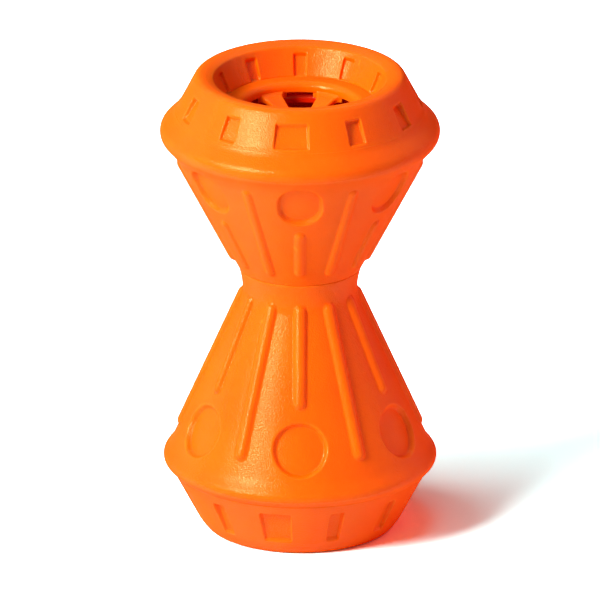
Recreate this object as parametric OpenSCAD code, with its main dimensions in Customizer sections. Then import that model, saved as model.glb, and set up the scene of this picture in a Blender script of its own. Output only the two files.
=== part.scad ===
// Hourglass treat toy of moulded rubber, standing on its base collar.
// The origin is the middle of the base, +Z is up and the front faces -Y.
// Azimuths are in degrees, counted from the front and positive towards +X.

/* [Base collar] */
// Radius of the flat face that the toy stands on
base_r = 25.2; // [24:0.1:26.5]
// Radius of the base collar above its rounded corner
base_foot_r = 28; // [27:0.1:29.5]
// Height of the rounded corner of the base
base_foot_h = 3.4; // [2.4:0.1:4.4]
// Radius of the base collar at its seam with the lower shell
base_collar_r = 35.3; // [34:0.1:36]
// Height of the base collar
base_collar_h = 17.2; // [16.4:0.1:18.4]
// Radius of the lower mouth's edge
base_mouth_r = 22.2; // [21.4:0.1:23.2]

/* [Lower shell] */
// Height of the lower rim above its seam
lower_rim_rise = 2.2; // [2:0.1:3]
// Widest radius of the lower rim
lower_rim_r = 37.3; // [36.4:0.1:38.6]
// Rounding of the lower rim
lower_rim_bead = 1.9; // [1.4:0.1:1.9]
// Height of the lower cone's foot above the rim
lower_foot_rise = 4.1; // [3.4:0.1:5]
// Radius of the lower cone at its foot
lower_cone_r = 35.3; // [34.4:0.1:36]
// Height of the lower cone
lower_cone_h = 43.7; // [40:0.1:47]
// Wall of the lower shell, measured level
lower_wall = 5.2; // [4.4:0.1:6]

/* [Waist] */
// Radius of the waist where the lower cone ends
waist_r = 15.6; // [15:0.1:16.6]
// Height of the waist
waist_h = 7.8; // [6.6:0.1:9.6]
// How much wider the waist is at its seam
waist_flare = 1.2; // [0.6:0.1:1.8]
// How far the waist curves in between its ends
waist_bow = 0.55; // [0.2:0.05:0.9]

/* [Upper shell] */
// Height of the upper cone
upper_cone_h = 34.5; // [32:0.1:38]
// Radius of the upper cone at its top
upper_cone_r = 35.1; // [34:0.1:36]
// Height of the upper rim above the cone
upper_rim_gap = 5; // [4.2:0.1:6]
// Widest radius of the upper rim
upper_rim_r = 38.1; // [37.2:0.1:39.4]
// Rounding of the upper rim
upper_rim_bead = 2.8; // [2.2:0.1:3.4]
// Height of the upper seam above the rim
upper_rim_rise = 5.7; // [5:0.1:6.6]
// Wall of the upper shell, measured level
upper_wall = 5.2; // [4.4:0.1:6]

/* [Mouth collar] */
// Radius of the mouth collar at its seam with the upper shell
mouth_collar_r = 34; // [32.5:0.1:35]
// Height of the mouth collar above its seam
mouth_collar_h = 10.7; // [10:0.1:12]
// Radius of the lip's crest
lip_r = 27.1; // [26.6:0.1:27.8]
// Rounding of the lip
lip_bead = 2.3; // [1.8:0.1:2.6]
// Radius of the mouth's edge
mouth_r = 23.3; // [22.6:0.1:24]

/* [Gate rings] */
// Depth of each gate ring's ledge inside its mouth
gate_depth = 8.3; // [7.4:0.1:9]
// Radius of the opening in the gate rings
gate_open_r = 15.5; // [14.8:0.1:16]
// Width of the gate rings, from their opening to their seat
gate_ring_w = 5; // [4.6:0.1:5.4]
// Height of the gate rings
gate_ring_h = 4.4; // [4:0.1:5]
// Rounding of the ledges' inner edges
ledge_round = 1.6; // [1:0.1:2]

/* [Tongues] */
// Length of a tongue from its root's axis
tongue_l = 10.5; // [8:0.1:11]
// Width of a tongue at its root
tongue_root_w = 6.4; // [5.4:0.1:7]
// Width of a tongue at its tip
tongue_tip_w = 2.8; // [2:0.1:3.2]
// Thickness of a tongue
tongue_t = 1.8; // [1.4:0.1:2]
// Slope of a tongue into its chamber, in degrees
tongue_slope = 20; // [12:1:24]

/* [Collar spigots] */
// Radius of the spigots that the collars hold in the shells
spigot_r = 27.5; // [26.8:0.1:28.2]
// Length of the spigots
spigot_l = 4.6; // [4:0.1:5.2]
// Width of the shoulder that each gate ring rests on
shoulder_w = 2.3; // [1.6:0.1:2.4]

/* [Waist sleeve] */
// Outer radius of the sleeve
sleeve_r = 10.5; // [10:0.1:11.2]
// Bore radius of the sleeve
sleeve_bore_r = 7; // [6.2:0.1:8]
// Length of the sleeve
sleeve_l = 15; // [13:0.1:18]
// Radius of the sleeve's flange
flange_r = 12.8; // [12.2:0.1:13.4]
// Thickness of the sleeve's flange
flange_t = 2; // [1.4:0.1:2.6]

/* [Ribs] */
// Radius of the lower shell's ribs
lower_rib_r = 1.9; // [1.6:0.1:2.2]
// How far the lower shell's ribs stand out
lower_rib_rise = 1.2; // [0.8:0.1:1.5]
// Radius of the upper shell's ribs
upper_rib_r = 1.9; // [1.6:0.1:2.2]
// How far the upper shell's ribs stand out
upper_rib_rise = 0.7; // [0.5:0.1:1]

/* [Sunk discs] */
// Radius of the lower shell's discs
lower_disc_r = 7.2; // [6.4:0.1:7.8]
// Depth of the lower shell's discs
lower_disc_depth = 1.1; // [0.6:0.1:1.5]
// Half width of the upper shell's ovals
upper_oval_r = 5.9; // [5.2:0.1:6.4]
// How much longer than wide the upper shell's ovals are
upper_oval_stretch = 2.4; // [1:0.1:3]
// Depth of the upper shell's ovals
upper_oval_depth = 1; // [0.6:0.1:1.4]

/* [Pockets] */
// Width of the narrow pockets round the mouth collar
mouth_pocket_w = 4.6; // [3.6:0.1:5.6]
// Width of the wide pockets round the mouth collar
mouth_wide_pocket_w = 9.2; // [7:0.1:10]
// Width of the narrow pockets round the base collar
base_pocket_w = 3.6; // [2.8:0.1:4.6]
// Width of the wide pockets round the base collar
base_wide_pocket_w = 8; // [6:0.1:9]
// Depth of the pockets round the collars
pocket_depth = 1.1; // [0.5:0.1:1.3]
// Width of the pockets inside the mouths
inner_pocket_w = 3.4; // [2.6:0.1:4.4]
// Depth of the pockets inside the mouths
inner_pocket_depth = 0.8; // [0.4:0.1:1]

/* [Hidden] */
$fn = 96;
rubber = "#ff6a0a";

// Bonded rings and spigots are this much smaller than their seats, all round
bond_gap = 0.05;
// Running clearance round the root of a tongue
hinge_gap = 0.08;
// Room at each end of a tongue's root
root_end_gap = 0.3;
// How far the shells' edges stand out past the collars at the seams
seam_step = 0.3;
// How far the corner of the base is rounded out
base_corner_bow = 0.25;
// How far every cut runs past the face that it opens
overrun = 1;

// Patterns: how many copies there are, and the azimuth of the first
lower_discs = 6;
upper_ovals = 7;
tongue_count = 6;
first_tongue_az = 30;
mouth_pockets = 11;
base_pockets = 12;
pockets_per_wide = 6;
mouth_pocket_az = -4.2;
base_pocket_az = -12;
inner_pockets = 10;
inner_pocket_az = 180;

// Where ribs and discs lie along their cone, from the waist to the rim
lower_long_rib_shares = [0.01, 0.85];
lower_short_rib_shares = [0.01, 0.53];
lower_disc_share = 0.8;
upper_long_rib_shares = [0.15, 0.94];
upper_short_rib_shares = [0.14, 0.52];
upper_oval_share = 0.83;
// Where pockets lie along their wall, from the seam or the ledge to the mouth
mouth_pocket_shares = [0.1, 0.74];
base_pocket_shares = [0.24, 0.91];
inner_pocket_shares = [0.06, 0.88];
// Where the lip bends down into the mouth, as shares of its rounding
lip_bend_in_share = 0.5;
lip_bend_fall_share = 0.36;
mouth_edge_fall_share = 0.7;
// Where the upper chamber's floor lies along the upper cone
upper_floor_share = 0.2;
upper_floor_edge_share = 0.28;

// Heights of the seams, cones and rims
lower_seam_z = base_collar_h;
lower_rim_z = lower_seam_z + lower_rim_rise;
lower_cone_z = lower_rim_z + lower_foot_rise;
waist_z = lower_cone_z + lower_cone_h;
waist_seam_z = waist_z + waist_h;
upper_cone_z = waist_seam_z + upper_cone_h;
upper_rim_z = upper_cone_z + upper_rim_gap;
upper_seam_z = upper_rim_z + upper_rim_rise;
top_z = upper_seam_z + mouth_collar_h;
upper_ledge_z = top_z - gate_depth;

// The root of a tongue is a round bead on the hinge's axis
root_r = tongue_t / 2;
hinge_drop = gate_ring_h - root_r - hinge_gap;
gate_ring_r = gate_open_r + gate_ring_w;
shoulder_r = gate_ring_r - shoulder_w;
seat_r = gate_ring_r + bond_gap;
spigot_seat_r = spigot_r + bond_gap;

// Outlines are lists of [radius, height], and a line is two such points
lip_centre = [lip_r, top_z - lip_bead];
lower_line = [[waist_r, waist_z], [lower_cone_r, lower_cone_z]];
upper_line = [[waist_r + waist_flare, waist_seam_z], [upper_cone_r, upper_cone_z]];
mouth_seam = [mouth_collar_r, upper_seam_z];
mouth_line = [mouth_seam, tangent_point(mouth_seam, lip_centre, lip_bead)];
base_line = [[base_collar_r, lower_seam_z], [base_foot_r, base_foot_h]];
mouth_edge = [mouth_r, top_z - lip_bead * mouth_edge_fall_share];
mouth_funnel_line = [[seat_r, upper_ledge_z], mouth_edge];
base_funnel_line = [[seat_r, gate_depth], [base_mouth_r, 0]];

function at_share(line, s) = line[0] + (line[1] - line[0]) * s;
function turned(v, a) = [v[0] * cos(a) - v[1] * sin(a), v[0] * sin(a) + v[1] * cos(a)];
// The direction square to a line, pointing away from the toy's axis
function outward(line) =
    let (u = (line[1] - line[0]) / norm(line[1] - line[0]))
    u[1] > 0 ? [u[1], -u[0]] : [-u[1], u[0]];
// Where a line from p touches the outer side of a bead
function tangent_point(p, centre, r) =
    let (d = centre - p, far = norm(d), a = asin(r / far))
    p + turned(d / far, d[1] > 0 ? -a : a) * sqrt(far * far - r * r);
// Points from p to q, bowed away from the toy's axis
function bowed(p, q, rise, steps) = [
    for (i = [0:steps])
        let (s = i / steps)
        at_share([p, q], s) + outward([p, q]) * rise * 4 * s * (1 - s)
];

// Points of an arc, from one angle to another
function arc(centre, r, from, to, steps) = [
    for (i = [0:steps])
        let (a = from + (to - from) * i / steps)
        centre + r * [cos(a), sin(a)]
];

// Turns what is drawn along +X to an azimuth
module facing(az) {
    rotate([0, 0, az - 90]) children();
}

// Puts what is drawn along +Z at a point of an outline, along v
module stand_along(p, v) {
    translate([p[0], 0, p[1]]) rotate([0, atan2(v[0], v[1]), 0]) children();
}

// A round bar along a line, sunk so that only its rise stands out
module rib(line, shares, r, rise) {
    sunk = outward(line) * (r - rise);
    start = at_share(line, shares[0]) - sunk;
    end = at_share(line, shares[1]) - sunk;
    stand_along(start, end - start) {
        cylinder(r = r, h = norm(end - start));
        sphere(r = r);
        translate([0, 0, norm(end - start)]) sphere(r = r);
    }
}

// A short rib points at each disc, and a long rib stands between two discs
module ribs(line, count, short_shares, long_shares, r, rise) {
    for (k = [0:count - 1]) {
        facing(k * 360 / count) rib(line, short_shares, r, rise);
        facing((k + 0.5) * 360 / count) rib(line, long_shares, r, rise);
    }
}

// The layer under a cone's surface that a disc is sunk into
module skin(line, depth) {
    n = outward(line);
    rotate_extrude()
        polygon([
            line[0] + n * overrun, line[1] + n * overrun,
            line[1] - n * depth, line[0] - n * depth
        ]);
}

// A round cutter square to a line, or a long one if it is stretched
module disc_cutter(line, share, r, stretch) {
    n = outward(line);
    stand_along(at_share(line, share) - n * r, n) {
        for (side = [-1, 1]) translate([side * stretch / 2, 0, 0]) cylinder(r = r, h = 2 * r);
        if (stretch > 0) translate([-stretch / 2, -r, 0]) cube([stretch, 2 * r, 2 * r]);
    }
}

module sunk_discs(line, count, share, r, stretch, depth) {
    intersection() {
        skin(line, depth);
        union() for (k = [0:count - 1]) facing(k * 360 / count) disc_cutter(line, share, r, stretch);
    }
}

// A rectangular cutter on a line, between two depths measured along its normal
module pocket_cutter(line, shares, w, inner, outer) {
    n = outward(line);
    mid = at_share(line, (shares[0] + shares[1]) / 2);
    reach = norm(line[1] - line[0]) * (shares[1] - shares[0]);
    stand_along(mid - n * inner, n)
        translate([-reach / 2, -w / 2, 0]) cube([reach, w, inner + outer]);
}

module collar_pockets(line, shares, count, first_az, narrow, wide) {
    for (k = [0:count - 1])
        facing(first_az + k * 360 / count)
            pocket_cutter(line, shares, k % pockets_per_wide == 0 ? wide : narrow, pocket_depth,
                overrun);
}

module inner_pockets(line) {
    for (k = [0:inner_pockets - 1])
        facing(inner_pocket_az + k * 360 / inner_pockets)
            pocket_cutter(line, inner_pocket_shares, inner_pocket_w, overrun, inner_pocket_depth);
}

// The room that both shells keep for the sleeve and its flange
module sleeve_seat() {
    translate([0, 0, waist_seam_z]) {
        cylinder(r = flange_r + bond_gap, h = flange_t, center = true);
        cylinder(r = sleeve_r + bond_gap, h = sleeve_l + 2 * overrun, center = true);
    }
}

module lower_outline() {
    rim = [lower_rim_r - lower_rim_bead, lower_rim_z];
    seam = [base_collar_r + seam_step, lower_seam_z];
    polygon(concat(
        [[0, lower_seam_z], seam],
        [for (p = [seam, lower_line[1]]) tangent_point(p, rim, lower_rim_bead)],
        [lower_line[1]],
        bowed(lower_line[0], upper_line[0], -waist_bow, 8),
        [[0, waist_seam_z]]
    ));
    translate(rim) circle(r = lower_rim_bead);
}

module lower_chamber() {
    wall = [lower_wall, 0];
    rotate_extrude()
        polygon([
            [0, lower_seam_z - overrun], [spigot_seat_r, lower_seam_z - overrun],
            [spigot_seat_r, lower_seam_z + spigot_l], lower_line[1] - wall,
            lower_line[0] - wall, [0, waist_z]
        ]);
}

module lower_shell() {
    color(rubber) difference() {
        union() {
            rotate_extrude() lower_outline();
            ribs(lower_line, lower_discs, lower_short_rib_shares, lower_long_rib_shares,
                lower_rib_r, lower_rib_rise);
        }
        sunk_discs(lower_line, lower_discs, lower_disc_share, lower_disc_r, 0, lower_disc_depth);
        lower_chamber();
        sleeve_seat();
    }
}

module upper_outline() {
    rim = [upper_rim_r - upper_rim_bead, upper_rim_z];
    seam = [mouth_collar_r + seam_step, upper_seam_z];
    polygon(concat(
        [[0, waist_seam_z]], upper_line,
        [for (p = [upper_line[1], seam]) tangent_point(p, rim, upper_rim_bead)],
        [seam, [0, upper_seam_z]]
    ));
    translate(rim) circle(r = upper_rim_bead);
}

module upper_chamber() {
    wall = [upper_wall, 0];
    floor_z = at_share(upper_line, upper_floor_share)[1];
    rotate_extrude()
        polygon([
            [0, floor_z], [sleeve_r, floor_z],
            at_share(upper_line, upper_floor_edge_share) - wall, upper_line[1] - wall,
            [spigot_seat_r, upper_seam_z - spigot_l],
            [spigot_seat_r, upper_seam_z + overrun], [0, upper_seam_z + overrun]
        ]);
}

module upper_shell() {
    color(rubber) difference() {
        union() {
            rotate_extrude() upper_outline();
            ribs(upper_line, upper_ovals, upper_short_rib_shares, upper_long_rib_shares,
                upper_rib_r, upper_rib_rise);
        }
        sunk_discs(upper_line, upper_ovals, upper_oval_share, upper_oval_r, upper_oval_stretch,
            upper_oval_depth);
        upper_chamber();
        sleeve_seat();
    }
}

module mouth_collar() {
    bend = lip_bead * lip_bend_in_share;
    color(rubber) difference() {
        rotate_extrude() {
            polygon([
                mouth_line[0], mouth_line[1], lip_centre, [lip_r, top_z],
                [mouth_r + bend, top_z - lip_bead * lip_bend_fall_share], mouth_edge,
                [seat_r, upper_ledge_z], [seat_r, upper_ledge_z - gate_ring_h],
                [shoulder_r, upper_ledge_z - gate_ring_h], [shoulder_r, upper_seam_z - spigot_l],
                [spigot_r, upper_seam_z - spigot_l], [spigot_r, upper_seam_z]
            ]);
            translate(lip_centre) circle(r = lip_bead);
        }
        collar_pockets(mouth_line, mouth_pocket_shares, mouth_pockets, mouth_pocket_az,
            mouth_pocket_w, mouth_wide_pocket_w);
        inner_pockets(mouth_funnel_line);
    }
}

module base_collar() {
    color(rubber) difference() {
        rotate_extrude()
            polygon(concat(
                bowed([base_r, 0], base_line[1], base_corner_bow, 6),
                [
                    base_line[0], [spigot_r, lower_seam_z], [spigot_r, lower_seam_z + spigot_l],
                    [shoulder_r, lower_seam_z + spigot_l], [shoulder_r, gate_depth + gate_ring_h],
                    [seat_r, gate_depth + gate_ring_h], [seat_r, gate_depth], [base_mouth_r, 0]
                ]
            ));
        collar_pockets(base_line, base_pocket_shares, base_pockets, base_pocket_az,
            base_pocket_w, base_wide_pocket_w);
        inner_pockets(base_funnel_line);
    }
}

module waist_sleeve() {
    color(rubber) translate([0, 0, waist_seam_z]) difference() {
        union() {
            cylinder(r = sleeve_r, h = sleeve_l, center = true);
            cylinder(r = flange_r, h = flange_t, center = true);
        }
        cylinder(r = sleeve_bore_r, h = sleeve_l + 2 * overrun, center = true);
    }
}

// Both gates are drawn as the upper one, with the ledge at height 0
module root_groove() {
    w = tongue_root_w + 2 * root_end_gap;
    r = root_r + hinge_gap;
    translate([gate_open_r, 0, -hinge_drop]) {
        rotate([90, 0, 0]) cylinder(r = r, h = w, center = true);
        translate([-overrun / 2, 0, 0]) cube([overrun, w, 2 * r], center = true);
    }
}

module gate_ring() {
    crest = [gate_open_r + ledge_round, -ledge_round];
    difference() {
        rotate_extrude()
            polygon(concat(
                arc(crest, ledge_round, 180, 90, 8),
                [
                    [gate_ring_r, 0], [gate_ring_r, -gate_ring_h],
                    [gate_open_r + tongue_t, -gate_ring_h], [gate_open_r, -hinge_drop]
                ]
            ));
        for (k = [1:tongue_count]) facing(tongue_az(k)) root_groove();
    }
}

function tongue_az(k) = first_tongue_az + (k - 1) * 360 / tongue_count;

module tongue(k) {
    tip = tongue_l - tongue_tip_w / 2;
    facing(tongue_az(k)) translate([gate_open_r, 0, -hinge_drop]) rotate([0, -tongue_slope, 0]) {
        rotate([90, 0, 0]) cylinder(r = root_r, h = tongue_root_w, center = true);
        linear_extrude(tongue_t, center = true)
            polygon([
                [0, tongue_root_w / 2], [0, -tongue_root_w / 2],
                [-tip, -tongue_tip_w / 2], [-tip, tongue_tip_w / 2]
            ]);
        translate([-tip, 0, 0]) cylinder(r = tongue_tip_w / 2, h = tongue_t, center = true);
    }
}

module in_upper_mouth() {
    color(rubber) translate([0, 0, upper_ledge_z]) children();
}

module in_lower_mouth() {
    color(rubber) translate([0, 0, gate_depth]) mirror([0, 0, 1]) children();
}

module upper_gate_ring() {
    in_upper_mouth() gate_ring();
}

module lower_gate_ring() {
    in_lower_mouth() gate_ring();
}

upper_shell();
lower_shell();
mouth_collar();
base_collar();
waist_sleeve();
upper_gate_ring();
lower_gate_ring();
in_upper_mouth() tongue(1);  // upper_tongue_1
in_upper_mouth() tongue(2);  // upper_tongue_2
in_upper_mouth() tongue(3);  // upper_tongue_3
in_upper_mouth() tongue(4);  // upper_tongue_4
in_upper_mouth() tongue(5);  // upper_tongue_5
in_upper_mouth() tongue(6);  // upper_tongue_6
in_lower_mouth() tongue(1);  // lower_tongue_1
in_lower_mouth() tongue(2);  // lower_tongue_2
in_lower_mouth() tongue(3);  // lower_tongue_3
in_lower_mouth() tongue(4);  // lower_tongue_4
in_lower_mouth() tongue(5);  // lower_tongue_5
in_lower_mouth() tongue(6);  // lower_tongue_6
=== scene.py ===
"""An hourglass treat toy of orange rubber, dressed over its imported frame.

Sizes are in millimetres, counted from the toy's axis and from the face that it stands on. Azimuths
are in degrees from the front, and positive towards +X. Every mesh is turned, carved and eased in
millimetres and then brought to metres.
"""

import logging
import math
from collections.abc import Sequence
from dataclasses import dataclass
from enum import Enum

import bmesh
import bpy
import numpy as np
from mathutils import Matrix, Vector


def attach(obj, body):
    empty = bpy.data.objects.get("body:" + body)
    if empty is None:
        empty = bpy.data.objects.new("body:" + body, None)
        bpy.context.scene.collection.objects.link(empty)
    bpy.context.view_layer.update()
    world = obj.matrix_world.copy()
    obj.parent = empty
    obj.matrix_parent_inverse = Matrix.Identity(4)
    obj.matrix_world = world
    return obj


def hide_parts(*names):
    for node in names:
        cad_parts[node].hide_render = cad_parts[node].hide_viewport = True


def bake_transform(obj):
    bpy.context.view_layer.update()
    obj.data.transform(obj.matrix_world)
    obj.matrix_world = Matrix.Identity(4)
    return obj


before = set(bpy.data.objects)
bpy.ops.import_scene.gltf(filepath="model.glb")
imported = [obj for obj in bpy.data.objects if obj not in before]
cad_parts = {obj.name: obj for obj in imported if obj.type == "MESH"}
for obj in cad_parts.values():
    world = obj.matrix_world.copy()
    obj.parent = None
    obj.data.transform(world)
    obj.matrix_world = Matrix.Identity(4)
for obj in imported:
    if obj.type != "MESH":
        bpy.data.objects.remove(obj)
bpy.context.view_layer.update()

log = logging.getLogger("chew_toy")

Pair = tuple[float, float]
Colour = tuple[float, float, float, float]

MM = 0.001
BODY = "toy_body"
WHITE: Colour = (1, 1, 1, 1)

# A turned mesh: its equal wedges, the most points that keep it under 200,000 triangles, and how
# near each other two points are merged.
WEDGES = 8
MOST_POINTS = 99500
MERGE_WITHIN = 0.002

# The cored inside, which is painted with shade: how far it reaches from the axis, its heights, and
# how softly the mask of that painted shade ends across the wall and up the toy.
WIDEST_CORE = 32.2
CORED_HEIGHTS: Pair = (11.4, 119.5)
CORE_BLUR: Pair = (0.5, 0.4)

# Sizes of the patterns in the rubber, as features in a metre.
PEBBLES = 2700
PITS = 4200
RUBBED_PATCHES = 160
CLOUDS = 45

# Sockets of a Mix node that mixes colours.
SHARE, FIRST, SECOND, MIXED = 0, 6, 7, 2


class Side(Enum):
    """The two ends of the toy, each with a mouth and a gate of tongues."""

    UPPER = "upper"
    LOWER = "lower"


class Cut(Enum):
    """How finely an edge of an outline is divided, as its longest piece."""

    CARVED = 0.38
    EASED = 0.8
    PLAIN = 6.0


# Outlines and the meshes turned from them


@dataclass(frozen=True)
class Corner:
    """One corner of an outline.

    Attributes:
        r: Distance from the toy's axis.
        z: Height above the base.
        ease: How far from the corner its rounding starts, or 0 where it stays sharp.
        cut: How finely the edge to the next corner is divided.
    """

    r: float
    z: float
    ease: float = 0.0
    cut: Cut = Cut.PLAIN


@dataclass(frozen=True)
class Slant:
    """A straight stretch of an outline, which carries ribs, discs or pockets."""

    start: Pair
    end: Pair

    @property
    def length(self) -> float:
        """Length of the stretch."""
        return math.dist(self.start, self.end)

    @property
    def along(self) -> np.ndarray:
        """Unit direction from start to end, as radius and height."""
        return (np.array(self.end) - np.array(self.start)) / self.length

    @property
    def outward(self) -> np.ndarray:
        """Unit direction square to the stretch, away from the toy's axis."""
        u = self.along
        return np.array([u[1], -u[0]]) if u[1] > 0 else np.array([-u[1], u[0]])

    def at(self, share: float) -> np.ndarray:
        """Point at a share of the way from start to end."""
        return np.array(self.start) + (np.array(self.end) - np.array(self.start)) * share


def divide(bm: bmesh.types.BMesh, corners: Sequence[Corner]) -> None:
    """Divides an outline's edges as finely as the stretch that they lie on asks for.

    Args:
        bm: The mesh that holds the outline as a closed wire.
        corners: The outline's corners, before their rounding.
    """
    ends = np.array([(c.r, c.z) for c in corners])
    nexts = np.roll(ends, -1, axis=0)
    span = nexts - ends
    groups: dict[int, list[bmesh.types.BMEdge]] = {}
    for edge in bm.edges:
        middle = (edge.verts[0].co + edge.verts[1].co) / 2
        p = np.array([middle.x, middle.z])
        share = np.clip(((p - ends) * span).sum(1) / (span * span).sum(1), 0, 1)
        near = int(np.argmin(((ends + span * share[:, None] - p) ** 2).sum(1)))
        pieces = math.ceil(edge.calc_length() / corners[near].cut.value)
        if pieces > 1:
            groups.setdefault(pieces - 1, []).append(edge)
    for cuts, edges in groups.items():
        bmesh.ops.subdivide_edges(bm, edges=edges, cuts=cuts)


def turned(name: str, corners: Sequence[Corner], steps: int) -> bpy.types.Mesh:
    """Turns a closed outline about the toy's axis, as one wedge and its copies.

    Args:
        name: Name of the mesh.
        corners: The outline's corners, in order.
        steps: Number of steps round the axis, or fewer where the mesh would get too large.

    Returns:
        The closed mesh, in millimetres, with its faces pointing outwards.
    """
    bm = bmesh.new()
    ring = [bm.verts.new((c.r, 0, c.z)) for c in corners]
    for a, b in zip(ring, ring[1:] + ring[:1]):
        bm.edges.new((a, b))
    by_ease: dict[float, list[bmesh.types.BMVert]] = {}
    for vert, corner in zip(ring, corners):
        if corner.ease:
            by_ease.setdefault(corner.ease, []).append(vert)
    for ease, verts in by_ease.items():
        bmesh.ops.bevel(
            bm, geom=verts, offset=ease, offset_type="OFFSET", profile_type="SUPERELLIPSE",
            segments=max(3, math.ceil(ease * 3)), profile=0.5, affect="VERTICES",
            clamp_overlap=False, material=-1,
        )
    divide(bm, corners)
    steps = min(steps, MOST_POINTS // len(bm.verts))
    wedge = 2 * math.pi / WEDGES
    bmesh.ops.spin(
        bm, geom=bm.verts[:] + bm.edges[:], cent=(0, 0, 0), axis=(0, 0, 1), angle=wedge,
        steps=steps // WEDGES, use_duplicate=False,
    )
    bmesh.ops.spin(
        bm, geom=bm.verts[:] + bm.edges[:] + bm.faces[:], cent=(0, 0, 0), axis=(0, 0, 1),
        angle=wedge * (WEDGES - 1), steps=WEDGES - 1, use_duplicate=True,
    )
    bmesh.ops.remove_doubles(bm, verts=bm.verts[:], dist=MERGE_WITHIN)
    bmesh.ops.recalc_face_normals(bm, faces=bm.faces[:])
    mesh = bpy.data.meshes.new(name)
    bm.to_mesh(mesh)
    bm.free()
    return mesh


# Carving


def soft_step(x: np.ndarray) -> np.ndarray:
    """Rises smoothly from 0 at x = 0 to 1 at x = 1."""
    x = np.clip(x, 0, 1)
    return x * x * (3 - 2 * x)


def soft_max(x: np.ndarray, reach: float) -> np.ndarray:
    """The larger of x and 0, with the crease between them rounded over the reach."""
    return np.maximum(x, 0) + np.maximum(reach - np.abs(x), 0) ** 2 / (4 * reach)


def azimuths(count: int, first: float) -> list[float]:
    """Azimuths of a pattern of evenly spaced copies."""
    return [first + k * 360 / count for k in range(count)]


@dataclass(frozen=True)
class Bar:
    """A round bar, sunk into a slant so that only its rise stands out.

    Attributes:
        shares: Where it starts and ends along the slant.
        radius: Radius of the bar.
        rise: How far it stands out at its end.
        start_rise: How far it stands out at its start.
        crease: How softly its foot runs into the surface.
    """

    shares: Pair
    radius: float
    rise: float
    start_rise: float
    crease: float = 0.16


@dataclass(frozen=True)
class Recess:
    """A flat-floored recess with rounded corners.

    Attributes:
        middle: Where its middle lies, in millimetres along the slant.
        reach: Length along the slant.
        width: Width round the toy.
        corner: Radius of its corners.
        depth: Depth of its floor.
        wall: Width of its sloping wall, with both of its rounded edges.
        tilt: Share by which its floor is deeper at its far end, and shallower at its near end.
        pocket: Whether it is a pocket, with a plane floor and sides that point at the axis.
    """

    middle: float
    reach: float
    width: float
    corner: float
    depth: float
    wall: float
    tilt: float = 0.0
    pocket: bool = False


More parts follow.
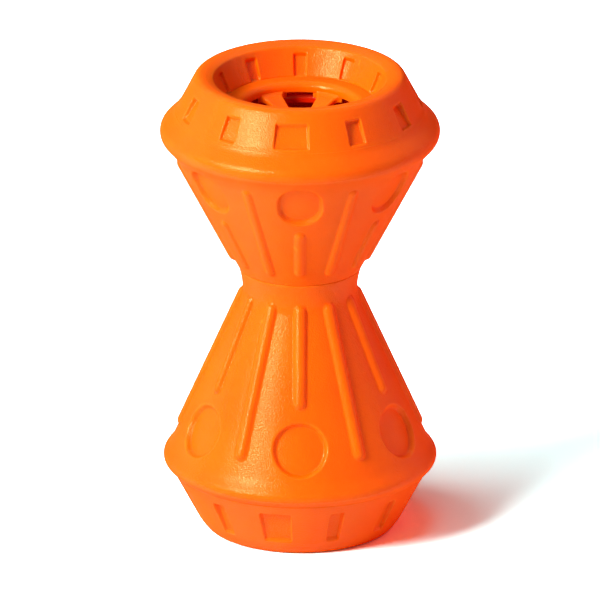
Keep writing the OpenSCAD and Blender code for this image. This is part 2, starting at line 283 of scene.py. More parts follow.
class Carver:
    """Moves the vertices of a turned mesh that lie on one slant, as a sculptor would.

    Attributes:
        past_ends: How far past the slant's ends a vertex may lie.
        round_share: Share of a bar's radius that stays round, before its foot falls straight.
        least_depth: Least depth of a sunk floor.
    """

    past_ends: float = 3.0
    round_share: float = 0.85
    least_depth: float = 0.1

    def __init__(self, mesh: bpy.types.Mesh, slant: Slant, margin: float = 0.8) -> None:
        """Finds the vertices on the slant.

        Args:
            mesh: The turned mesh, in millimetres.
            slant: The stretch of its outline to carve.
            margin: How far from the slant a vertex may lie.
        """
        self.mesh = mesh
        self.slant = slant
        self.points = np.empty(len(mesh.vertices) * 3)
        mesh.vertices.foreach_get("co", self.points)
        self.points = self.points.reshape(-1, 3)
        radius = np.hypot(self.points[:, 0], self.points[:, 1])
        flat = np.stack([radius, self.points[:, 2]], 1) - np.array(slant.start)
        along, height = flat @ slant.along, flat @ slant.outward
        past = self.past_ends
        near = (np.abs(height) < margin) & (along > -past) & (along < slant.length + past)
        self.rows = np.nonzero(near)[0]
        self.place = self.points[self.rows]
        self.radius, self.along = radius[self.rows], along[self.rows]
        out = slant.outward
        self.normal = np.stack([
            self.place[:, 0] / self.radius * out[0],
            self.place[:, 1] / self.radius * out[0],
            np.full(len(self.rows), out[1]),
        ], 1)
        self.lift = np.zeros(len(self.rows))

    def across(self, azimuth: float) -> tuple[np.ndarray, np.ndarray]:
        """Measures the vertices from the plane at an azimuth.

        Args:
            azimuth: The plane's azimuth.

        Returns:
            The distance across the plane, and whether each vertex is on the azimuth's side.
        """
        a = math.radians(azimuth)
        across = self.place[:, 0] * math.cos(a) + self.place[:, 1] * math.sin(a)
        ahead = self.place[:, 0] * math.sin(a) - self.place[:, 1] * math.cos(a)
        return across, ahead > 0

    def raise_bars(self, bar: Bar, where: Sequence[float]) -> None:
        """Raises the surface over a sunk round bar at each azimuth.

        Args:
            bar: The bar.
            where: Azimuths of the copies.
        """
        out, edge = self.slant.outward, bar.radius * self.round_share
        ends = [
            self.slant.at(share) - out * (bar.radius - rise)
            for share, rise in zip(bar.shares, (bar.start_rise, bar.rise))
        ]
        for azimuth in where:
            a = math.radians(azimuth)
            start, end = (np.array([p[0] * math.sin(a), -p[0] * math.cos(a), p[1]]) for p in ends)
            axis = end - start
            share = np.clip((self.place - start) @ axis / (axis @ axis), 0, 1)
            away = self.place - start - share[:, None] * axis
            above = (away * self.normal).sum(1)
            aside = np.sqrt(np.maximum((away * away).sum(1) - above * above, 0))
            near = aside < 2 * bar.radius
            crown = np.sqrt(np.maximum(bar.radius ** 2 - np.minimum(aside, edge) ** 2, 0))
            fall = np.maximum(aside - edge, 0) * edge / math.sqrt(bar.radius ** 2 - edge ** 2)
            _, ahead = self.across(azimuth)
            raised = soft_max(crown - fall - above, bar.crease)
            self.lift = np.where(near & ahead, np.maximum(self.lift, raised), self.lift)

    def sink(self, recess: Recess, where: Sequence[float]) -> None:
        """Sinks the surface into a recess at each azimuth.

        Args:
            recess: The recess.
            where: Azimuths of the copies.
        """
        inner = np.array([recess.width, recess.reach]) / 2 - recess.corner
        bow = abs(self.slant.outward[0])
        ahead_of_middle = self.along - recess.middle
        floor = recess.depth * (1 + recess.tilt * ahead_of_middle / (recess.reach / 2))
        middle_radius = self.slant.at(recess.middle / self.slant.length)[0]
        for azimuth in where:
            across, ahead = self.across(azimuth)
            depth = floor
            if recess.pocket:
                depth = floor - across ** 2 * bow / (2 * self.radius)
                across = across * middle_radius / self.radius
            over = np.stack([np.abs(across), np.abs(ahead_of_middle)], 1) - inner
            beyond = np.hypot(*np.maximum(over, 0).T) + np.minimum(over.max(1), 0) - recess.corner
            sunk = np.maximum(depth, self.least_depth) * soft_step(
                0.5 - beyond / recess.wall)
            self.lift = np.where(ahead, self.lift - sunk, self.lift)

    def finish(self, sign: float = 1.0) -> None:
        """Moves the vertices by what was raised and sunk.

        Args:
            sign: 1 on an outer surface, or -1 where outwards is into the rubber.
        """
        self.points[self.rows] += self.normal * (sign * self.lift)[:, None]
        self.mesh.vertices.foreach_set("co", self.points.ravel())
        self.mesh.update()


def dressed(
    mesh: bpy.types.Mesh, material: bpy.types.Material, node: str, name: str
) -> bpy.types.Object:
    """Brings a mesh to metres and puts it in the place of its CAD node.

    Args:
        mesh: The finished mesh, in millimetres.
        material: Its finish.
        node: The CAD node that it replaces.
        name: The object's name.

    Returns:
        The new object, which rides on nothing yet.
    """
    mesh.transform(Matrix.Scale(MM, 4))
    mesh.materials.append(material)
    mesh.shade_smooth()
    piece = bpy.data.objects.new(name, mesh)
    bpy.context.scene.collection.objects.link(piece)
    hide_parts(node)
    mesh.calc_loop_triangles()
    log.info("%s: %d triangles", name, len(mesh.loop_triangles))
    return piece


def fixed(
    mesh: bpy.types.Mesh, material: bpy.types.Material, node: str, name: str
) -> bpy.types.Object:
    """Dresses a piece that is part of the toy's body.

    Args:
        mesh: The finished mesh, in millimetres.
        material: Its finish.
        node: The CAD node that it replaces.
        name: The object's name.

    Returns:
        The new object.
    """
    piece = dressed(mesh, material, node, name)
    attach(piece, BODY)
    return piece


# The rubber


class NodeMaker:
    """Adds and links nodes in one tree."""

    def __init__(self, tree: bpy.types.NodeTree) -> None:
        """Keeps the tree and empties it."""
        self.tree = tree
        tree.nodes.clear()

    def add(self, kind: str, **values: object) -> bpy.types.Node:
        """Adds a node.

        Args:
            kind: The node's type name.
            **values: Attributes to set on the node.

        Returns:
            The node.
        """
        node = self.tree.nodes.new(kind)
        for key, value in values.items():
            setattr(node, key, value)
        return node

    def join(self, source: bpy.types.NodeSocket, target: bpy.types.NodeSocket) -> None:
        """Links an output to an input."""
        self.tree.links.new(source, target)

    def feed(self, value: object, target: bpy.types.NodeSocket) -> None:
        """Links an output to an input, or sets a plain value on it.

        Args:
            value: The output or the value.
            target: The input.
        """
        if isinstance(value, bpy.types.NodeSocket):
            self.join(value, target)
        else:
            target.default_value = value

    def reckon(self, operation: str, *values: object) -> bpy.types.NodeSocket:
        """Adds a Math node.

        Args:
            operation: What it does.
            *values: Its values, plain or as sockets.

        Returns:
            The result.
        """
        node = self.add("ShaderNodeMath", operation=operation)
        for socket, value in zip(node.inputs, values):
            self.feed(value, socket)
        return node.outputs[0]

    def noise(self, place: bpy.types.NodeSocket, scale: float, detail: float, rough: float
              ) -> bpy.types.NodeSocket:
        """Adds a noise texture.

        Args:
            place: The coordinates that it reads.
            scale: Features in a metre.
            detail: Number of finer layers.
            rough: Strength of the finer layers.

        Returns:
            The noise, from 0 to 1.
        """
        node = self.add("ShaderNodeTexNoise")
        node.inputs["Scale"].default_value = scale
        node.inputs["Detail"].default_value = detail
        node.inputs["Roughness"].default_value = rough
        self.join(place, node.inputs["Vector"])
        return node.outputs["Fac"]

    def spread(self, value: bpy.types.NodeSocket, source: Pair, target: Pair
               ) -> bpy.types.NodeSocket:
        """Maps a value from one range to another.

        Args:
            value: The value.
            source: The range that it comes from.
            target: The range that it goes to.

        Returns:
            The mapped value.
        """
        node = self.add("ShaderNodeMapRange")
        for name, number in zip(("From Min", "From Max", "To Min", "To Max"), source + target):
            node.inputs[name].default_value = number
        self.join(value, node.inputs["Value"])
        return node.outputs["Result"]

    def mix(self, share: bpy.types.NodeSocket, first: object, second: object
            ) -> bpy.types.NodeSocket:
        """Mixes two colours.

        Args:
            share: How much of the second colour is used.
            first: The first colour, as a value or a socket.
            second: The second colour, as a value or a socket.

        Returns:
            The mixed colour.
        """
        node = self.add("ShaderNodeMix", data_type="RGBA")
        for socket, value in ((SHARE, share), (FIRST, first), (SECOND, second)):
            self.feed(value, node.inputs[socket])
        return node.outputs[MIXED]


def new_group(
    name: str, inputs: Sequence[tuple[str, str]], outputs: Sequence[tuple[str, str]]
) -> tuple[bpy.types.NodeTree, NodeMaker, bpy.types.Node, bpy.types.Node]:
    """Starts a shader node group.

    Args:
        name: The group's name.
        inputs: Names and socket types of its inputs.
        outputs: Names and socket types of its outputs.

    Returns:
        The group, a maker for its nodes, and its input and output nodes.
    """
    group = bpy.data.node_groups.new(name, "ShaderNodeTree")
    for way, sockets in (("INPUT", inputs), ("OUTPUT", outputs)):
        for label, kind in sockets:
            group.interface.new_socket(label, in_out=way, socket_type=kind)
    maker = NodeMaker(group)
    return group, maker, maker.add("NodeGroupInput"), maker.add("NodeGroupOutput")


def pebble_group() -> bpy.types.NodeTree:
    """Builds the fine pebbled grain that the mould leaves on the rubber.

    Returns:
        A group from coordinates, and the share of fine pits, to a height and a speckle mask.
    """
    group, maker, source, sink = new_group(
        "Moulded pebble grain",
        [("Place", "NodeSocketVector"), ("Pits", "NodeSocketFloat")],
        [("Height", "NodeSocketFloat"), ("Speckle", "NodeSocketFloat")],
    )
    place = source.outputs["Place"]
    cells = maker.add("ShaderNodeTexVoronoi", feature="SMOOTH_F1")
    cells.inputs["Scale"].default_value = PEBBLES
    cells.inputs["Smoothness"].default_value = 0.6
    maker.join(place, cells.inputs["Vector"])
    pebbles = maker.spread(cells.outputs["Distance"], (0.1, 0.75), (1.0, 0.0))
    pits = maker.noise(place, PITS, 1.5, 0.5)
    weighted = maker.reckon("MULTIPLY", pits, source.outputs["Pits"])
    maker.join(maker.reckon("ADD", pebbles, weighted), sink.inputs["Height"])
    maker.join(maker.spread(pits, (0.35, 0.65), (0.0, 1.0)), sink.inputs["Speckle"])
    return group


def wear_and_crease_shade_group() -> bpy.types.NodeTree:
    """Builds the light rubbing along raised edges, and the shade painted into creases.

    Returns:
        A group from coordinates to two masks: 1 on worn edges, and 1 in creases for painted shade.
    """
    group, maker, source, sink = new_group(
        "Rubbed edges and crease shade",
        [("Place", "NodeSocketVector")],
        [("Worn", "NodeSocketFloat"), ("Crease shade", "NodeSocketFloat")],
    )
    bend = maker.add("ShaderNodeNewGeometry").outputs["Pointiness"]
    patches = maker.spread(
        maker.noise(source.outputs["Place"], RUBBED_PATCHES, 3, 0.6), (0.4, 0.65), (0.25, 1.0))
    raised = maker.spread(bend, (0.505, 0.56), (0.0, 1.0))
    maker.join(maker.reckon("MULTIPLY", raised, patches), sink.inputs["Worn"])
    # Concave places, found by pointiness, are masked for painted shade.
    maker.join(maker.spread(bend, (0.495, 0.44), (0.0, 1.0)), sink.inputs["Crease shade"])
    return group


@dataclass(frozen=True)
class RubberFinish:
    """Satin moulded rubber, with a pebbled grain that the light picks out, and with shade painted
    into its creases and onto the inside of cored pieces.

    Attributes:
        name: Name of the material.
        body: Its colour.
        deep: Its darker tone, mottled at random over it and painted into creases as shade.
        worn: Its colour on edges worn by rubbing.
        rough: Least and greatest roughness, seen square on.
        edge_rough: Roughness where the surface turns away.
        grain: Height of the grain, in metres.
        pits: Share of fine pits in the grain.
        gloss: Specular level.
        sheen: Tint of what it mirrors, seen square on.
        depth: Share of the light that spreads under the surface.
        spread: How far each colour of that light spreads, against the reach.
        reach: The reach, in metres.
        inside: Painted shade on the inside of a cored piece, a deep red that stands in for the dark
            of its chamber.
        cored: Radius of the middle of the wall at the base, in millimetres, and how it grows with
        height, on a cored piece; they bound the shade painted on its inside.
    """

    name: str
    body: Colour = (0.98, 0.125, 0.0, 1)
    deep: Colour = (0.95, 0.105, 0.0, 1)
    worn: Colour = (1.0, 0.165, 0.004, 1)
    rough: Pair = (0.16, 0.24)
    edge_rough: float = 0.85
    grain: float = 0.000042
    pits: float = 0.7
    gloss: float = 0.28
    sheen: Colour = (1.0, 0.85, 0.35, 1)
    depth: float = 0.12
    spread: tuple[float, float, float] = (1.0, 0.1, 0.02)
    reach: float = 0.004
    inside: Colour = (0.8, 0.012, 0.0, 1)
    cored: Pair | None = None

    def painted_inner_shade_mask(self, maker: NodeMaker, place: bpy.types.NodeSocket) -> bpy.types.NodeSocket:
        """Masks the inside of a cored piece, between the two gates, where shade is painted.

        Args:
            maker: Adds the nodes.
            place: The coordinates that it reads.

        Returns:
            A mask that is 1 where the inside's shade is painted.
        """
        parts = maker.add("ShaderNodeSeparateXYZ")
        maker.join(place, parts.inputs[0])
        flat = maker.add("ShaderNodeCombineXYZ")
        for axis in ("X", "Y"):
            maker.join(parts.outputs[axis], flat.inputs[axis])
        radius = maker.add("ShaderNodeVectorMath", operation="LENGTH")
        maker.join(flat.outputs[0], radius.inputs[0])
        height = parts.outputs["Z"]
        at_base, growth = self.cored
        wall = maker.reckon("MULTIPLY_ADD", height, growth, at_base * MM)
        wall = maker.reckon("MINIMUM", wall, WIDEST_CORE * MM)
        across, up = (value * MM for value in CORE_BLUR)
        within = maker.spread(
            maker.reckon("SUBTRACT", wall, radius.outputs["Value"]), (-across, across), (0.0, 1.0))
        low, high = (value * MM for value in CORED_HEIGHTS)
        away = maker.reckon("ABSOLUTE", maker.reckon("SUBTRACT", height, (low + high) / 2))
        half = (high - low) / 2
        between = maker.spread(away, (half + up, half - up), (0.0, 1.0))
        return maker.reckon("MULTIPLY", within, between)

    def material(self, pebbles: bpy.types.NodeTree, wear_and_crease_shade: bpy.types.NodeTree
                 ) -> bpy.types.Material:
        """Builds the material.

        Args:
            pebbles: The grain's node group.
            wear_and_crease_shade: The node group of the worn edges and the painted crease shade.

        Returns:
            The material.
        """
        material = bpy.data.materials.new(self.name)
        material.use_nodes = True
        maker = NodeMaker(material.node_tree)
        place = maker.add("ShaderNodeTexCoord").outputs["Object"]
        grain = maker.add("ShaderNodeGroup", node_tree=pebbles)
        grain.inputs["Pits"].default_value = self.pits
        wear_and_crease_shade_masks = maker.add("ShaderNodeGroup", node_tree=wear_and_crease_shade)
        for node in (grain, wear_and_crease_shade_masks):
            maker.join(place, node.inputs["Place"])
        clouds = maker.spread(maker.noise(place, CLOUDS, 4, 0.55), (0.35, 0.65), (0.0, 1.0))
        colour = maker.mix(clouds, self.body, self.deep)
        # Creases take the deeper tone as painted shade.
        colour = maker.mix(wear_and_crease_shade_masks.outputs["Crease shade"], colour, self.deep)
        colour = maker.mix(wear_and_crease_shade_masks.outputs["Worn"], colour, self.worn)
        # The inside of a cored piece is painted deep red, as shade for its dark chamber.
        if self.cored:
            colour = maker.mix(self.painted_inner_shade_mask(maker, place), colour, self.inside)
        bump = maker.add("ShaderNodeBump")
        bump.inputs["Strength"].default_value = 1.0
        bump.inputs["Distance"].default_value = self.grain
        maker.join(grain.outputs["Height"], bump.inputs["Height"])
        shader = maker.add("ShaderNodeBsdfPrincipled")
        shader.inputs["IOR"].default_value = 1.5
        shader.inputs["Specular IOR Level"].default_value = self.gloss
        shader.inputs["Specular Tint"].default_value = self.sheen
        shader.inputs["Subsurface Weight"].default_value = self.depth
        shader.inputs["Subsurface Radius"].default_value = self.spread
        shader.inputs["Subsurface Scale"].default_value = self.reach
        maker.join(colour, shader.inputs["Base Color"])
        turned_away = maker.add("ShaderNodeLayerWeight").outputs["Facing"]
        rough = maker.mix(
            maker.spread(turned_away, (0.25, 0.7), (0.0, 1.0)),
            maker.spread(grain.outputs["Speckle"], (0.0, 1.0), self.rough),
            (self.edge_rough,) * 3 + (1,))
        maker.join(rough, shader.inputs["Roughness"])
        maker.join(bump.outputs["Normal"], shader.inputs["Normal"])
        out = maker.add("ShaderNodeOutputMaterial")
        maker.join(shader.outputs["BSDF"], out.inputs["Surface"])
        return material


# The pieces


@dataclass
class RibbedCone:
    """One half of the hourglass: a cored cone with a rim, ribs and sunk discs.

    Attributes:
        side: Which half it is.
        slant: The cone's outside, from the waist to the foot of the rim.
        corners: Its closed outline.
        count: Number of discs, of short ribs and of long ribs.
        short_rib: The rib that points at each disc.
        long_rib: The rib between two discs.
        disc: The sunk disc or oval.
        steps: Number of steps round the axis.
        cored: Radius of the middle of its wall at the base, and how it grows with height, which
            bound the shade painted on its inside.
        margin: How far from the slant its ribs may reach.
    """

    side: Side
    slant: Slant
    corners: list[Corner]
    count: int
    short_rib: Bar
    long_rib: Bar
    disc: Recess
    steps: int
    cored: Pair
    margin: float = 0.8

    def build(self, pebbles: bpy.types.NodeTree, wear_and_crease_shade: bpy.types.NodeTree) -> bpy.types.Object:
        """Turns the cone, carves it and dresses it.

        Args:
            pebbles: The grain's node group.
            wear_and_crease_shade: The node group of the worn edges and the painted crease shade.

        Returns:
            The finished object.
        """
        rubber = RubberFinish(
            f"Orange rubber, {self.side.value} cone", cored=self.cored).material(pebbles, wear_and_crease_shade)
        node = f"{self.side.value}_shell"
        mesh = turned(node, self.corners, self.steps)
        carver = Carver(mesh, self.slant, self.margin)
        carver.raise_bars(self.short_rib, azimuths(self.count, 0))
        carver.raise_bars(self.long_rib, azimuths(self.count, 180 / self.count))
        carver.sink(self.disc, azimuths(self.count, 0))
        carver.finish()
        return fixed(mesh, rubber, node, f"{self.side.value}_cone_rubber")


def lower_cone() -> RibbedCone:
    """Gives the lower half its sizes."""
    slant = Slant((15.6, 67.2), (35.3, 23.5))
    return RibbedCone(
        side=Side.LOWER,
        slant=slant,
        corners=[
            Corner(27.55, 17.2, 0.3),
            Corner(35.6, 17.2, 0.35, Cut.EASED),
            Corner(38.15, 19.9, 1.9, Cut.EASED),
            Corner(35.3, 23.5, 1.2, Cut.CARVED),
            Corner(15.75, 67.2, 1.6, Cut.EASED),
            Corner(15.8, 71.1, 1.8, Cut.EASED),
            Corner(16.8, 75.0, 0.25),
            Corner(12.85, 75.0),
            Corner(12.85, 74.0),
            Corner(10.55, 74.0),
            Corner(10.55, 66.9, 0.6),
            Corner(30.1, 23.5, 1.0),
            Corner(27.55, 21.8),
        ],
        count=6,
        short_rib=Bar((0.0, 0.53), 1.95, 1.25, 1.45),
        long_rib=Bar((0.0, 0.85), 1.95, 1.25, 1.45),
        disc=Recess(0.8 * slant.length, 14.4, 14.4, 7.2, 1.4, 0.95),
        steps=600,
        cored=(43.29, -0.4505),
        margin=1.8,
    )


def upper_cone() -> RibbedCone:
    """Gives the upper half its sizes."""
    slant = Slant((16.8, 75.0), (35.1, 109.5))
    return RibbedCone(
        side=Side.UPPER,
        slant=slant,
        corners=[
            Corner(12.85, 75.0),
            Corner(16.8, 75.0, 0.4, Cut.CARVED),
            Corner(35.1, 109.5, 2.2, Cut.EASED),
            Corner(39.78, 114.5, 3.2, Cut.EASED),
            Corner(34.72, 119.35, 0.8, Cut.EASED),
            Corner(34.3, 120.2, 0.06),
            Corner(27.55, 120.2, 0.3),
            Corner(27.55, 115.6),
            Corner(29.9, 109.5, 1.0),
            Corner(16.72, 84.66, 1.5),
            Corner(10.55, 81.9, 0.6),
            Corner(10.55, 76.0),
            Corner(12.85, 76.0),
        ],
        count=7,
        short_rib=Bar((0.14, 0.52), 1.9, 0.85, 0.85),
        long_rib=Bar((0.13, 0.93), 1.9, 0.65, 0.9),
        disc=Recess(0.83 * slant.length, 14.2, 11.8, 5.9, 1.3, 0.85),
        steps=640,
        cored=(-25.62, 0.5306),
    )


@dataclass
class Collar:
    """A tapered collar with pockets round its outside and inside its mouth.

    Attributes:
        side: Which end of the toy it closes.
        corners: Its closed outline.
        outside: The stretch that carries the outer pockets.
        outside_shares: Where the outer pockets start and end.
        pockets: Number of outer pockets.
        first_pocket: Azimuth of the first wide pocket.
        narrow: Width of the narrow pockets.
        wide: Width of the wide pockets.
        tilt: Share by which the outer pockets are deeper at their far end.
        funnel: The stretch that carries the inner pockets.
        funnel_shares: Where the inner pockets start and end.
        pockets_per_wide: How many outer pockets there are to each wide one.
        depth: Depth of the outer pockets.
        inner_pockets: Number of inner pockets.
        inner_width: Width of the inner pockets.
        inner_depth: Depth of the inner pockets.
        corner: Radius of the pockets' corners.
        wall: Width of the pockets' sloping walls.
        steps: Number of steps round the axis.
    """

    side: Side
    corners: list[Corner]
    outside: Slant
    outside_shares: Pair
    pockets: int
    first_pocket: float
    narrow: float
    wide: float
    tilt: float
    funnel: Slant
    funnel_shares: Pair = (0.03, 0.88)
    pockets_per_wide: int = 6
    depth: float = 1.15
    inner_pockets: int = 10
    inner_width: float = 3.4
    inner_depth: float = 0.9
    corner: float = 0.4
    wall: float = 0.36
    steps: int = 1200

    def pocket(self, slant: Slant, shares: Pair, width: float, depth: float, tilt: float
               ) -> Recess:
        """Lays out one pocket.

        Args:
            slant: The stretch that carries it.
            shares: Where it starts and ends along the stretch.
            width: Its width.
            depth: Its depth.
            tilt: Share by which it is deeper at its far end.

        Returns:
            The pocket.
        """
        middle = slant.length * sum(shares) / 2
        reach = slant.length * (shares[1] - shares[0])
        return Recess(middle, reach, width, self.corner, depth, self.wall, tilt, pocket=True)

    def build(self, rubber: bpy.types.Material) -> bpy.types.Object:
        """Turns the collar, carves its pockets and dresses it.

        Args:
            rubber: Its finish.

        Returns:
            The finished object.
        """
        name = "mouth_collar" if self.side is Side.UPPER else "base_collar"
        mesh = turned(name, self.corners, self.steps)
        carver = Carver(mesh, self.outside)
        places = azimuths(self.pockets, self.first_pocket)
        wide = places[::self.pockets_per_wide]
        for width, where in (
            (self.wide, wide),
            (self.narrow, [a for a in places if a not in wide]),
        ):
            carver.sink(
                self.pocket(self.outside, self.outside_shares, width, self.depth, self.tilt), where)
        carver.finish()
        carver = Carver(mesh, self.funnel)
        carver.sink(
            self.pocket(self.funnel, self.funnel_shares, self.inner_width, self.inner_depth, 0.0),
            azimuths(self.inner_pockets, 180))
        carver.finish(-1)
        return fixed(mesh, rubber, name, f"{name}_rubber")


def mouth_collar() -> Collar:
    """Gives the upper collar and its lip their sizes."""
    return Collar(
        side=Side.UPPER,
        corners=[
            Corner(34.26, 120.2, 0.06, Cut.CARVED),
            Corner(33.6, 121.1, 0.6, Cut.CARVED),
            Corner(28.75, 130.45, 0.9, Cut.EASED),
            Corner(26.9, 131.0, 1.6, Cut.EASED),
            Corner(23.8, 129.9, 0.35, Cut.CARVED),
            Corner(20.55, 122.6),
            Corner(20.55, 118.2),
            Corner(18.2, 118.2),
            Corner(18.2, 115.6, 0.3),
            Corner(27.5, 115.6, 0.4),
            Corner(27.5, 120.2),
        ],
        outside=Slant((34.0, 120.2), (29.14, 129.65)),
        outside_shares=(0.1, 0.74),
        pockets=11,
        first_pocket=-4.2,
        narrow=4.6,
        wide=9.2,
        tilt=0.35,
        funnel=Slant((20.55, 122.6), (23.38, 128.95)),
    )


def base_collar() -> Collar:
    """Gives the lower collar and its foot their sizes."""
    return Collar(
        side=Side.LOWER,
        corners=[
            Corner(35.3, 17.2, 0.3, Cut.CARVED),
            Corner(27.7, 2.85, 1.6, Cut.EASED),
            Corner(25.35, 0.0, 0.9, Cut.EASED),
            Corner(22.2, 0.0, 0.6, Cut.CARVED),
            Corner(20.55, 8.3),
            Corner(20.55, 12.7),
            Corner(18.2, 12.7),
            Corner(18.2, 21.8, 0.3),
            Corner(27.5, 21.8, 0.4),
            Corner(27.5, 17.2),
        ],
        outside=Slant((35.3, 17.2), (28.0, 3.4)),
        outside_shares=(0.24, 0.91),
        pockets=12,
        first_pocket=-12,
        narrow=3.6,
        wide=8.0,
        tilt=-0.35,
        funnel=Slant((20.55, 8.3), (22.2, 0.0)),
    )


@dataclass
class Gate:
    """The ring inside a mouth, and the six tongues that hang on it.

    Attributes:
        side: Which mouth it is in.
        ledge: Height of the ledge that shows inside the mouth.
        opening: Radius of the ring's opening, where the tongues have their roots.
        outside: Radius of the ring's outside.
        height: Height of the ring.
        lip: Height of the ring's narrow part.
        undercut: Radius behind the narrow part.
        ledge_round: Rounding of the ledge's inner edge.
        hinge_drop: How deep behind the ledge the roots' axes lie.
        count: Number of tongues.
        first: Azimuth of the first tongue.
        slope: How steeply the tongues fall into the chamber, in degrees.
        thickness: Thickness of a tongue.
        reach: Length of a tongue.
        root: Half of a tongue's width at its root.
        tip: Half of its width at its tip, and how long the tip's rounding is.
        root_round: Radius with which its sides flare into the ring.
        wall_round: Radius with which its face runs into the ring.
        edge_round: Radius of its edges.
        wall_edge_round: Radius of its edges at the root.
        sunk: How far its root reaches into the ring's wall.
        gather: How much its loops of faces gather at the root and the tip.
        tip_taper: How much the tip's rounding narrows it.
        bend: Distances from the axis at which its bend starts and ends. Not used.
        ring_steps: Number of steps round the ring.
        cuts: Number of cuts along each side of a tongue's mesh.
    """

    side: Side
    ledge: float
    opening: float = 15.5
    outside: float = 20.5
    height: float = 4.4
    lip: float = 2.9
    undercut: float = 18.4
    ledge_round: float = 1.9
    hinge_drop: float = 3.42
    count: int = 6
    first: float = 30
    slope: float = 20
    thickness: float = 1.8
    reach: float = 9.87
    root: float = 2.95
    tip: float = 1.5
    root_round: float = 1.7
    wall_round: float = 1.2
    edge_round: float = 0.55
    wall_edge_round: float = 0.12
    sunk: float = 0.35
    gather: float = 0.8
    tip_taper: float = 0.75
    bend: Pair = (15.3, 13.0)
    ring_steps: int = 480
    cuts: int = 23

    @property
    def inward(self) -> float:
        """1 where the chamber lies above the mouth, or -1 where it lies below it."""
        return 1.0 if self.side is Side.LOWER else -1.0

    def height_at(self, depth: float) -> float:
        """Height of what lies at a depth behind the ledge."""
        return self.ledge + self.inward * depth

    def ring_outline(self) -> list[Corner]:
        """Lays out the ring's closed outline."""
        return [
            Corner(self.outside, self.height_at(0), 0.25, Cut.EASED),
            Corner(self.opening, self.height_at(0), self.ledge_round, Cut.CARVED),
            Corner(self.opening, self.height_at(self.lip), 0.3, Cut.EASED),
            Corner(self.undercut, self.height_at(self.lip + 0.3), 0.3, Cut.EASED),
            Corner(self.undercut, self.height_at(self.height)),
            Corner(self.outside, self.height_at(self.height)),
        ]

    def build_ring(self, rubber: bpy.types.Material) -> bpy.types.Object:
        """Turns the ring.

        Args:
            rubber: Its finish.

        Returns:
            The finished object.
        """
        node = f"{self.side.value}_gate_ring"
        mesh = turned(node, self.ring_outline(), self.ring_steps)
        return fixed(mesh, rubber, node, f"{node}_rubber")

    def tongue_point(self, a: float, b: float, c: float) -> Vector:
        """Shapes one point of a tongue, whose root's axis lies along Y and whose tip is at -X.

        Args:
            a: From 1 at the root to -1 at the tip.
            b: From -1 to 1 across the tongue.
            c: From -1 on the chamber's side to 1 on the mouth's side.

        Returns:
            The point, in millimetres from the middle of the root's axis.
        """
        u = (1 - a) / 2
        s = self.reach * (u - self.gather * math.sin(2 * math.pi * u) / (2 * math.pi))
        near_tip = max(0.0, 1 - (self.reach - s) / self.tip)
        half = (self.root + (self.tip - self.root) * s / self.reach) * math.sqrt(
            1 - self.tip_taper * near_tip ** 2)
        flare, hollow = self.root_round, self.wall_round
        half += flare - math.sqrt(flare ** 2 - max(flare - s, 0.0) ** 2)
        y = b * half
        wall = math.sqrt(self.opening ** 2 - y * y) - self.opening + self.sunk
        wall *= 1 - s / self.reach
        ease = self.wall_edge_round + (self.edge_round - self.wall_edge_round) * min(s / flare, 1)
        inside = min((1 - abs(b)) * half, self.reach - s, ease)
        thick = self.thickness / 2 - ease + math.sqrt(ease ** 2 - (ease - inside) ** 2)
        rise = (hollow - math.sqrt(hollow ** 2 - max(hollow - s, 0.0) ** 2)) * max(c, 0.0)
        fall = math.tan(math.radians(self.slope)) * s
        return Vector((wall - s, y, c * thick + rise - fall))

    def tongue_mesh(self, name: str) -> bpy.types.Mesh:
        """Models one tongue, as one moulding that runs out of the ring's wall.

        Args:
            name: Name of the mesh.

        Returns:
            The mesh, in millimetres.
        """
        bm = bmesh.new()
        bmesh.ops.create_cube(bm, size=2)
        bmesh.ops.subdivide_edges(bm, edges=bm.edges[:], cuts=self.cuts, use_grid_fill=True)
        for vert in bm.verts:
            vert.co = self.tongue_point(*vert.co)
        bmesh.ops.recalc_face_normals(bm, faces=bm.faces[:])
        mesh = bpy.data.meshes.new(name)
        bm.to_mesh(mesh)
        bm.free()
        return mesh

    def build_tongue(self, k: int, rubber: bpy.types.Material) -> bpy.types.Object:
        """Models one tongue and hangs it on the ring.

        Args:
            k: Its number, from 1.
            rubber: Its finish.

        Returns:
            The finished object.
        """
        node = f"{self.side.value}_tongue_{k}"
        mesh = self.tongue_mesh(node)
        azimuth = math.radians(self.first + (k - 1) * 360 / self.count)
        mesh.transform(Matrix.Rotation(azimuth - math.pi / 2, 4, "Z")
                       @ Matrix.Translation((self.opening, 0, -self.hinge_drop)))
        if self.side is Side.LOWER:
            mesh.transform(Matrix.Scale(-1, 4, (0, 0, 1)))
            mesh.flip_normals()
        mesh.transform(Matrix.Translation((0, 0, self.ledge)))
        piece = dressed(mesh, rubber, node, f"{node}_rubber")
        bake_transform(piece)
        return piece

    def build(self, ring_rubber: bpy.types.Material, tongue_rubber: bpy.types.Material
              ) -> list[bpy.types.Object]:
        """Builds the ring and its tongues.

        Args:
            ring_rubber: The ring's finish.
            tongue_rubber: The tongues' finish.

        Returns:
            The finished objects.
        """
        tongues = [self.build_tongue(k, tongue_rubber) for k in range(1, self.count + 1)]
        return [self.build_ring(ring_rubber), *tongues]


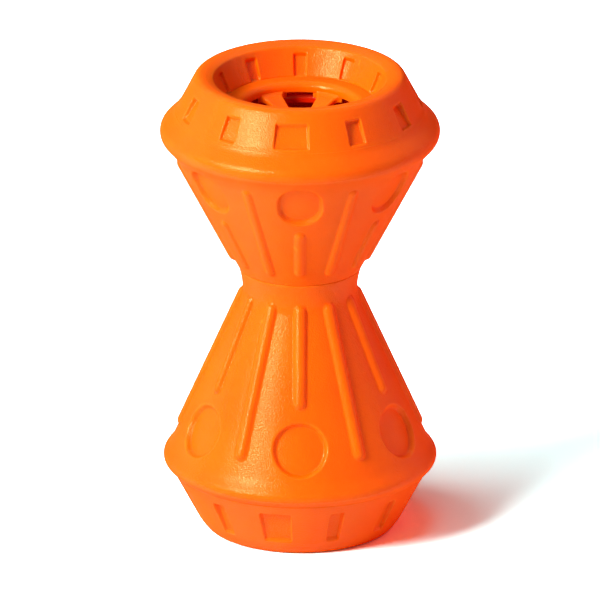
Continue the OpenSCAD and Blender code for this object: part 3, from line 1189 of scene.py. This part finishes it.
@dataclass
class WaistSleeve:
    """The flanged bushing that joins the two cones at the waist.

    Attributes:
        seam: Height of the waist seam.
        bore: Radius of the passage through it.
        outside: Radius of the part that each cone holds.
        flange: Radius of the flange.
        flange_half: Half of the flange's thickness.
        half: Half of the sleeve's height.
        ease: Rounding of the sleeve's ends.
        steps: Number of steps round the axis.
    """

    seam: float = 75.0
    bore: float = 7.0
    outside: float = 10.5
    flange: float = 12.8
    flange_half: float = 1.0
    half: float = 7.5
    ease: float = 0.5
    steps: int = 192

    def build(self, rubber: bpy.types.Material) -> bpy.types.Object:
        """Turns the sleeve and dresses it.

        Args:
            rubber: Its finish.

        Returns:
            The finished object.
        """
        low, high = self.seam - self.half, self.seam + self.half
        under, over = self.seam - self.flange_half, self.seam + self.flange_half
        corners = [
            Corner(self.bore, low, self.ease), Corner(self.outside, low, self.ease),
            Corner(self.outside, under), Corner(self.flange, under), Corner(self.flange, over),
            Corner(self.outside, over), Corner(self.outside, high, self.ease),
            Corner(self.bore, high, self.ease),
        ]
        mesh = turned("waist_sleeve", corners, self.steps)
        return fixed(mesh, rubber, "waist_sleeve", "waist_sleeve_rubber")


# Camera, floor and light


@dataclass(frozen=True)
class Lamp:
    """A soft lamp that faces the toy.

    Attributes:
        name: The lamp's name.
        azimuth: Where it hangs round the toy, in degrees.
        elevation: Where it hangs above level, in degrees.
        width: Its width, in metres.
        height: Its height, in metres.
        level: How brightly it lights a white face that is turned to it.
        colour: Its colour.
        mirrored: Whether glossy surfaces show it.
        distance: How far from the toy it hangs, in metres.
    """

    name: str
    azimuth: float
    elevation: float
    width: float
    height: float
    level: float
    colour: tuple[float, float, float] = (1.0, 1.0, 1.0)
    mirrored: bool = True
    distance: float = 1.2

    def hang(self, aim: Vector) -> None:
        """Hangs the lamp.

        Args:
            aim: The point that it faces.
        """
        data = bpy.data.lights.new(self.name, "AREA")
        data.shape, data.size, data.size_y = "RECTANGLE", self.width, self.height
        data.energy = self.level * (math.pi * self.distance) ** 2
        data.color = self.colour
        lamp = bpy.data.objects.new(self.name, data)
        a, e = math.radians(self.azimuth), math.radians(self.elevation)
        away = Vector((math.sin(a) * math.cos(e), -math.cos(a) * math.cos(e), math.sin(e)))
        lamp.location = aim + away * self.distance
        lamp.rotation_euler = away.to_track_quat("Z", "Y").to_euler()
        lamp.visible_glossy = self.mirrored
        bpy.context.scene.collection.objects.link(lamp)


@dataclass
class Studio:
    """A pale floor, soft lamps from the upper left, a dim red one on the right, and the view.

    Attributes:
        elevation: How far above level the camera looks from, in degrees.
        distance: How far from the toy the camera stands, in metres.
        view_width: Width of the picture, in metres.
        aim: Height of the point in the middle of the picture, in metres.
        ambient: How brightly the surround lights the toy.
        floor_seen: Colour of the floor where the camera sees it.
        floor_real: How pale the floor is for the light that it throws back.
        floor_reach: How far the floor reaches each way, in metres.
        floor_gap: How far the floor lies under the toy, in metres.
        lamps: The lamps.
    """

    elevation: float = 20.44
    distance: float = 1.5
    view_width: float = 0.16452
    aim: float = 0.06474
    ambient: float = 0.05
    floor_seen: Colour = (1.9, 2.75, 2.75, 1)
    floor_real: Colour = (0.86, 0.86, 0.86, 1)
    floor_reach: float = 6.0
    floor_gap: float = 0.0001
    lamps: tuple[Lamp, ...] = (
        Lamp("key", -51, 33, 0.42, 0.36, 1.3),
        Lamp("side", -82, 40, 1.2, 1.0, 0.7, mirrored=False),
        Lamp("top", -40, 80, 0.7, 0.7, 0.16, mirrored=False),
        Lamp("glow", 95, 1, 0.8, 0.1, 0.5, colour=(1.0, 0.06, 0.02), mirrored=False),
    )

    def camera(self) -> None:
        """Places the camera."""
        data = bpy.data.cameras.new("view")
        data.type = "ORTHO"
        data.ortho_scale = self.view_width
        data.clip_start, data.clip_end = 0.01, 20
        camera = bpy.data.objects.new("view", data)
        tilt = math.radians(self.elevation)
        away = Vector((0, -math.cos(tilt), math.sin(tilt)))
        camera.location = away * self.distance + Vector((0, 0, self.aim))
        camera.rotation_euler = (math.pi / 2 - tilt, 0, 0)
        bpy.context.scene.collection.objects.link(camera)
        bpy.context.scene.camera = camera

    def floor(self) -> None:
        """Lays the pale floor, which the camera sees as white wherever light falls on it."""
        bm = bmesh.new()
        bmesh.ops.create_grid(bm, x_segments=1, y_segments=1, size=self.floor_reach)
        bmesh.ops.translate(bm, verts=bm.verts[:], vec=(0, 0, -self.floor_gap))
        mesh = bpy.data.meshes.new("floor")
        bm.to_mesh(mesh)
        bm.free()
        material = bpy.data.materials.new("Pale floor")
        material.use_nodes = True
        maker = NodeMaker(material.node_tree)
        seen = maker.add("ShaderNodeLightPath").outputs["Is Camera Ray"]
        shader = maker.add("ShaderNodeBsdfDiffuse")
        maker.join(maker.mix(seen, self.floor_real, self.floor_seen), shader.inputs["Color"])
        out = maker.add("ShaderNodeOutputMaterial")
        maker.join(shader.outputs["BSDF"], out.inputs["Surface"])
        mesh.materials.append(material)
        floor = bpy.data.objects.new("floor", mesh)
        bpy.context.scene.collection.objects.link(floor)

    def world(self) -> None:
        """Sets a white surround that lights the toy less than it shows."""
        world = bpy.data.worlds.new("surround")
        world.use_nodes = True
        maker = NodeMaker(world.node_tree)
        path = maker.add("ShaderNodeLightPath")
        seen = path.outputs["Is Camera Ray"]
        for ray in ("Is Glossy Ray", "Is Transmission Ray"):
            seen = maker.reckon("MAXIMUM", seen, path.outputs[ray])
        light = maker.add("ShaderNodeBackground")
        light.inputs["Color"].default_value = WHITE
        maker.join(
            maker.spread(seen, (0.0, 1.0), (self.ambient, 1.0)), light.inputs["Strength"])
        out = maker.add("ShaderNodeOutputWorld")
        maker.join(light.outputs["Background"], out.inputs["Surface"])
        bpy.context.scene.world = world

    def build(self) -> None:
        """Sets up the view and the light."""
        bpy.context.scene.view_settings.view_transform = "Standard"
        self.camera()
        self.floor()
        self.world()
        for lamp in self.lamps:
            lamp.hang(Vector((0, 0, self.aim)))


def main() -> None:
    """Builds every piece in order, then the view and the light."""
    logging.basicConfig(level=logging.INFO, format="%(name)s %(message)s")
    pebbles, wear_and_crease_shade = pebble_group(), wear_and_crease_shade_group()
    # Collars and gate rings get their painted inner shade out to a wall radius of 27.6 mm at every
    # height.
    straight_core: Pair = (27.6, 0.0)
    shell_rubber, ring_rubber, tongue_rubber = (finish.material(pebbles, wear_and_crease_shade) for finish in (
        RubberFinish("Orange rubber, collars", cored=straight_core),
        RubberFinish("Orange rubber, gate rings", grain=0.00002, cored=straight_core),
        RubberFinish("Orange rubber, tongues", grain=0.000035),
    ))
    for cone in (lower_cone(), upper_cone()):
        cone.build(pebbles, wear_and_crease_shade)
    for collar in (base_collar(), mouth_collar()):
        collar.build(shell_rubber)
    for gate in (Gate(Side.LOWER, 8.3), Gate(Side.UPPER, 122.6)):
        gate.build(ring_rubber, tongue_rubber)
    WaistSleeve().build(shell_rubber)
    Studio().build()


if __name__ == "__main__":
    main()
